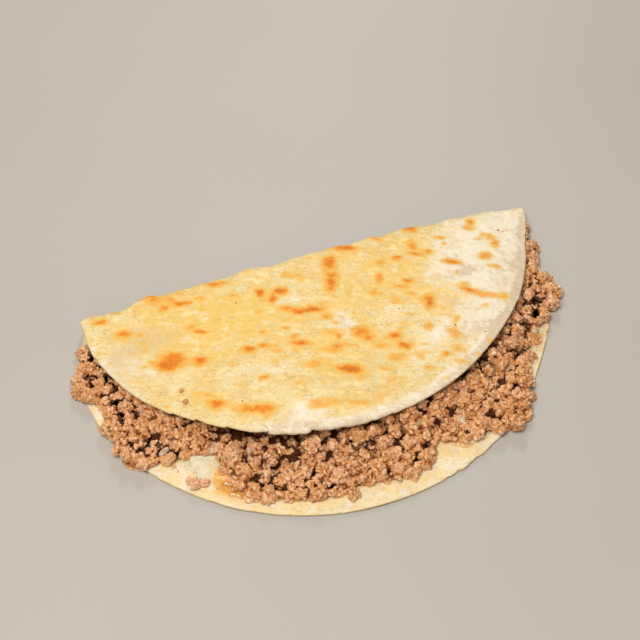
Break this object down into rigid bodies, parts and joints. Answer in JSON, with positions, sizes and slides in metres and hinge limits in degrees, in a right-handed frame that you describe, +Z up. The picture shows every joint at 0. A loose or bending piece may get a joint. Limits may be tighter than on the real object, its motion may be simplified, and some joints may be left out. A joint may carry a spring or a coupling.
{
  "type": "quesadilla",
  "caption": "Flour tortilla folded in half over crumbled ground beef and melted cheese, its open edge overflowing with filling and its top dappled with toasted spots.",
  "frame": {"origin": "middle of the base of the bounding box, on the surface that the food lies on", "axes": "+X along the fold, -Y out of the open side, +Z up through the flap"},
  "size_m": [0.2114, 0.1212, 0.0166],
  "materials": {
    "toasted_tortilla": "cream flour dough with golden toasted spots and floury patches, matt with a faint oily sheen",
    "ground_beef": "browned crumbled beef, greasy, with small sharp highlights",
    "melted_cheese": "melted pale cheese with orange grease at its edge, smooth and wet"
  },
  "bodies": {
    "root": {"tortilla": "toasted_tortilla", "beef": "ground_beef", "cheese": "melted_cheese"}
  },
  "joints": []
}
